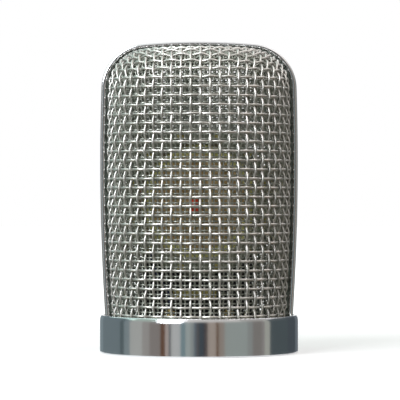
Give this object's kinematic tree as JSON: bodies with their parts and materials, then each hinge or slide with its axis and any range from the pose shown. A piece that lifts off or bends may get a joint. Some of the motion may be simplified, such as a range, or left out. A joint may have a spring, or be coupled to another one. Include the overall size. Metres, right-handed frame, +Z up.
{
  "type": "condenser microphone head with pop-screen grille",
  "caption": "Lift-off woven-wire pop-screen grille on a polished base ring, over a dual-diaphragm condenser capsule in a saddle with sprung contacts underneath.",
  "frame": {"origin": "centre of the foot, on the plane that the base ring stands on", "axes": "+Z up along the head's axis, -Y towards the front, +X to the right seen from the front"},
  "size_m": [0.046, 0.046, 0.072],
  "materials": {
    "polished_chrome": "polished chrome plate on brass",
    "satin_nickel_wire": "nickel-plated woven wire",
    "brass": "machined brass",
    "nickel_brass": "nickel-plated machined brass",
    "gold_film": "gold-sputtered polymer film",
    "black_moulding": "black moulded phenolic",
    "insulator": "machined insulating polymer",
    "rubber": "soft rubber",
    "black_steel": "blackened steel",
    "steel_screw": "zinc-plated steel",
    "gold_plate": "gold-plated brass",
    "spring_steel": "spring steel",
    "red_sleeve": "red insulating sleeve",
    "tinned_lead": "clear-sleeved fine wire",
    "blue_lead": "blue insulated wire"
  },
  "bodies": {
    "capsule_base": {"carrier_ring": "nickel_brass", "tension_ring_front": "nickel_brass", "tension_ring_rear": "nickel_brass", "insulator_plate": "black_moulding", "saddle": "black_moulding", "plate_screws": "steel_screw", "saddle_screws": "steel_screw", "capsule_screws": "steel_screw", "cradle_pads": "rubber", "backplate_front": "brass", "backplate_rear": "brass", "rim_screws_front": "brass", "rim_screws_rear": "brass", "centre_terminal_front": "brass", "centre_terminal_rear": "brass", "terminal_bar": "brass", "bar_screws": "brass", "backplate_spacer": "insulator", "centre_bush_front": "insulator", "centre_bush_rear": "insulator", "diaphragm_front": "gold_film", "diaphragm_rear": "gold_film", "terminal_washer_front": "gold_plate", "terminal_washer_rear": "gold_plate", "lead_sleeve_front": "red_sleeve", "lead_sleeve_rear": "red_sleeve", "front_lead": "tinned_lead", "link_lead": "tinned_lead", "rear_lead": "tinned_lead", "polarising_lead": "blue_lead", "contact_barrels": "gold_plate", "contact_caps": "gold_plate", "contact_spring_left": "spring_steel", "contact_spring_right": "spring_steel", "contact_spring_rear": "spring_steel"},
    "grille": {"base_ring": "polished_chrome", "hoop": "polished_chrome", "spine": "nickel_brass", "outer_mesh_front": "satin_nickel_wire", "outer_mesh_rear": "satin_nickel_wire", "inner_mesh_front": "satin_nickel_wire", "inner_mesh_rear": "satin_nickel_wire", "seat_arc_front": "nickel_brass", "seat_arc_rear": "nickel_brass", "clamp_arc_front": "nickel_brass", "clamp_arc_rear": "nickel_brass", "grub_screws": "black_steel"},
    "contact_pin_left": {"contact_pin_left": "gold_plate"},
    "contact_pin_right": {"contact_pin_right": "gold_plate"},
    "contact_pin_rear": {"contact_pin_rear": "gold_plate"}
  },
  "joints": [
    {"name": "grille_lift", "type": "slide", "parent": "capsule_base", "child": "grille", "axis": [0, 0, 1], "range_m": [0, 0.06]},
    {"name": "contact_left_press", "type": "slide", "parent": "capsule_base", "child": "contact_pin_left", "axis": [0, 0, 1], "range_m": [0, 0.0011], "stiffness_N_per_m": 300, "springref_m": -0.001, "deforming": ["contact_spring_left"]},
    {"name": "contact_right_press", "type": "slide", "parent": "capsule_base", "child": "contact_pin_right", "axis": [0, 0, 1], "range_m": [0, 0.0011], "stiffness_N_per_m": 300, "springref_m": -0.001, "deforming": ["contact_spring_right"]},
    {"name": "contact_rear_press", "type": "slide", "parent": "capsule_base", "child": "contact_pin_rear", "axis": [0, 0, 1], "range_m": [0, 0.0011], "stiffness_N_per_m": 300, "springref_m": -0.001, "deforming": ["contact_spring_rear"]}
  ]
}
